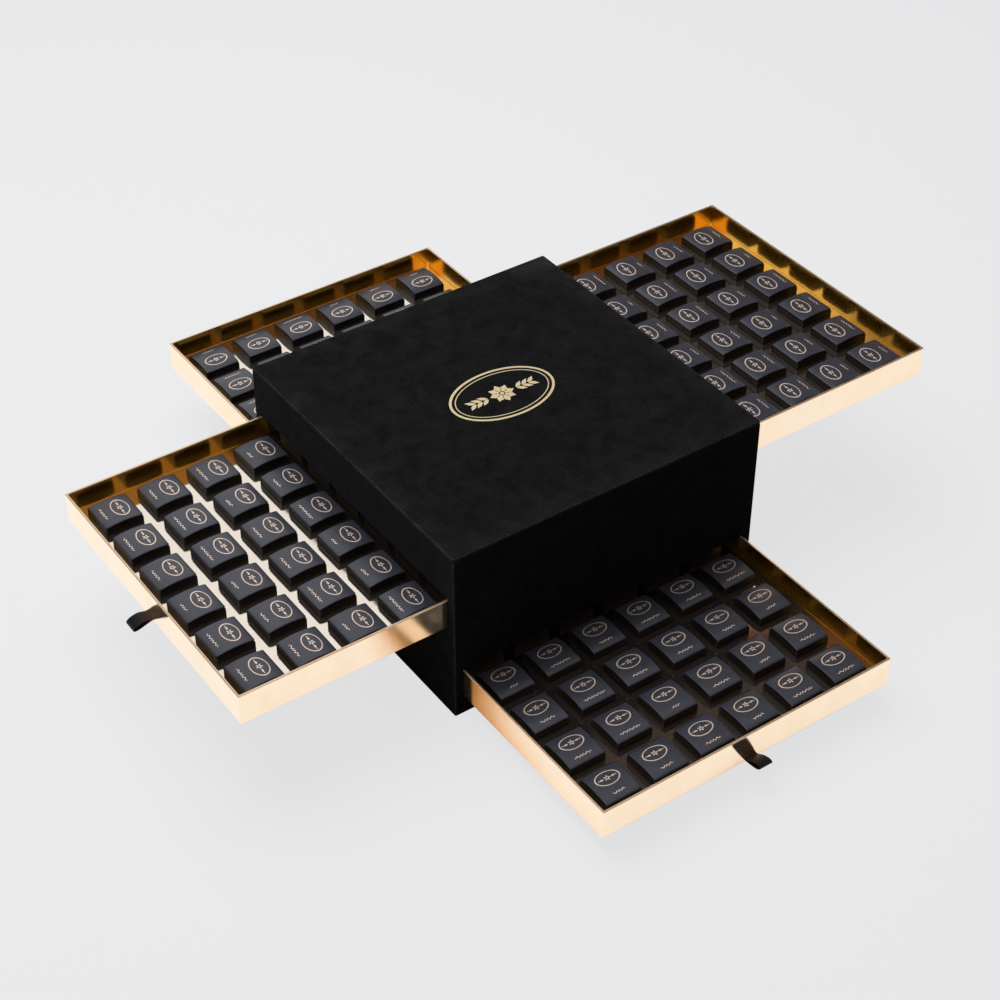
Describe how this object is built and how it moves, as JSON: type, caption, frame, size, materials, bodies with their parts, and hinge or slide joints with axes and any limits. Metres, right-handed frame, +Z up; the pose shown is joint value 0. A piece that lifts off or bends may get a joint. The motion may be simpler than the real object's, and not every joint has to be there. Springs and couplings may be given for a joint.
{
  "type": "chocolate box",
  "caption": "Square black velvet box with gold trays that slide out of its side faces at different levels, each holding a grid of wrapped chocolates.",
  "frame": {"origin": "middle of the box's underside, on the surface that it stands on", "axes": "+Z up; -Y out of the front face, where the lowest tray slides out; +X out of the right face, where the highest tray slides out"},
  "size_m": [0.7067, 0.6941, 0.1637],
  "materials": {
    "velvet": "matt black velvet with a short nap",
    "board": "black-lined grey board",
    "gold_board": "board wrapped in mirror-gold foil paper",
    "gold_card": "folded mirror-gold card",
    "wrapper": "black satin wrapper with a small gold print",
    "ribbon": "black satin ribbon",
    "foil": "pressed gold foil"
  },
  "bodies": {
    "case": {"base_board": "board", "front_wall": "board", "back_wall": "board", "left_wall": "board", "right_wall": "board", "wall_velvet": "velvet", "ceiling_board": "board", "top_board": "board", "top_velvet": "velvet", "top_foil": "foil", "front_shelf": "board", "front_guides": "board", "front_stop": "board", "back_shelf": "board", "back_guides": "board", "back_stop": "board", "left_shelf": "board", "left_guides": "board", "left_stop": "board", "right_shelf": "board", "right_guides": "board", "right_stop": "board"},
    "front_tray": {"front_tray_floor": "gold_board", "front_tray_face": "gold_board", "front_tray_rear": "gold_board", "front_tray_side_left": "gold_board", "front_tray_side_right": "gold_board", "front_tray_platform": "gold_card", "front_tray_ribbon": "ribbon", "front_tray_chocolates": "wrapper"},
    "back_tray": {"back_tray_floor": "gold_board", "back_tray_face": "gold_board", "back_tray_rear": "gold_board", "back_tray_side_left": "gold_board", "back_tray_side_right": "gold_board", "back_tray_platform": "gold_card", "back_tray_ribbon": "ribbon", "back_tray_chocolates": "wrapper"},
    "left_tray": {"left_tray_floor": "gold_board", "left_tray_face": "gold_board", "left_tray_rear": "gold_board", "left_tray_side_left": "gold_board", "left_tray_side_right": "gold_board", "left_tray_platform": "gold_card", "left_tray_ribbon": "ribbon", "left_tray_chocolates": "wrapper"},
    "right_tray": {"right_tray_floor": "gold_board", "right_tray_face": "gold_board", "right_tray_rear": "gold_board", "right_tray_side_left": "gold_board", "right_tray_side_right": "gold_board", "right_tray_platform": "gold_card", "right_tray_ribbon": "ribbon", "right_tray_chocolates": "wrapper"}
  },
  "joints": [
    {"name": "front_tray_slide", "type": "slide", "parent": "case", "child": "front_tray", "axis": [0, -1, 0], "range_m": [-0.1807, 0.1125]},
    {"name": "back_tray_slide", "type": "slide", "parent": "case", "child": "back_tray", "axis": [0, 1, 0], "range_m": [-0.1778, 0.1154]},
    {"name": "left_tray_slide", "type": "slide", "parent": "case", "child": "left_tray", "axis": [-1, 0, 0], "range_m": [-0.1816, 0.1116]},
    {"name": "right_tray_slide", "type": "slide", "parent": "case", "child": "right_tray", "axis": [1, 0, 0], "range_m": [-0.1895, 0.1037]}
  ]
}
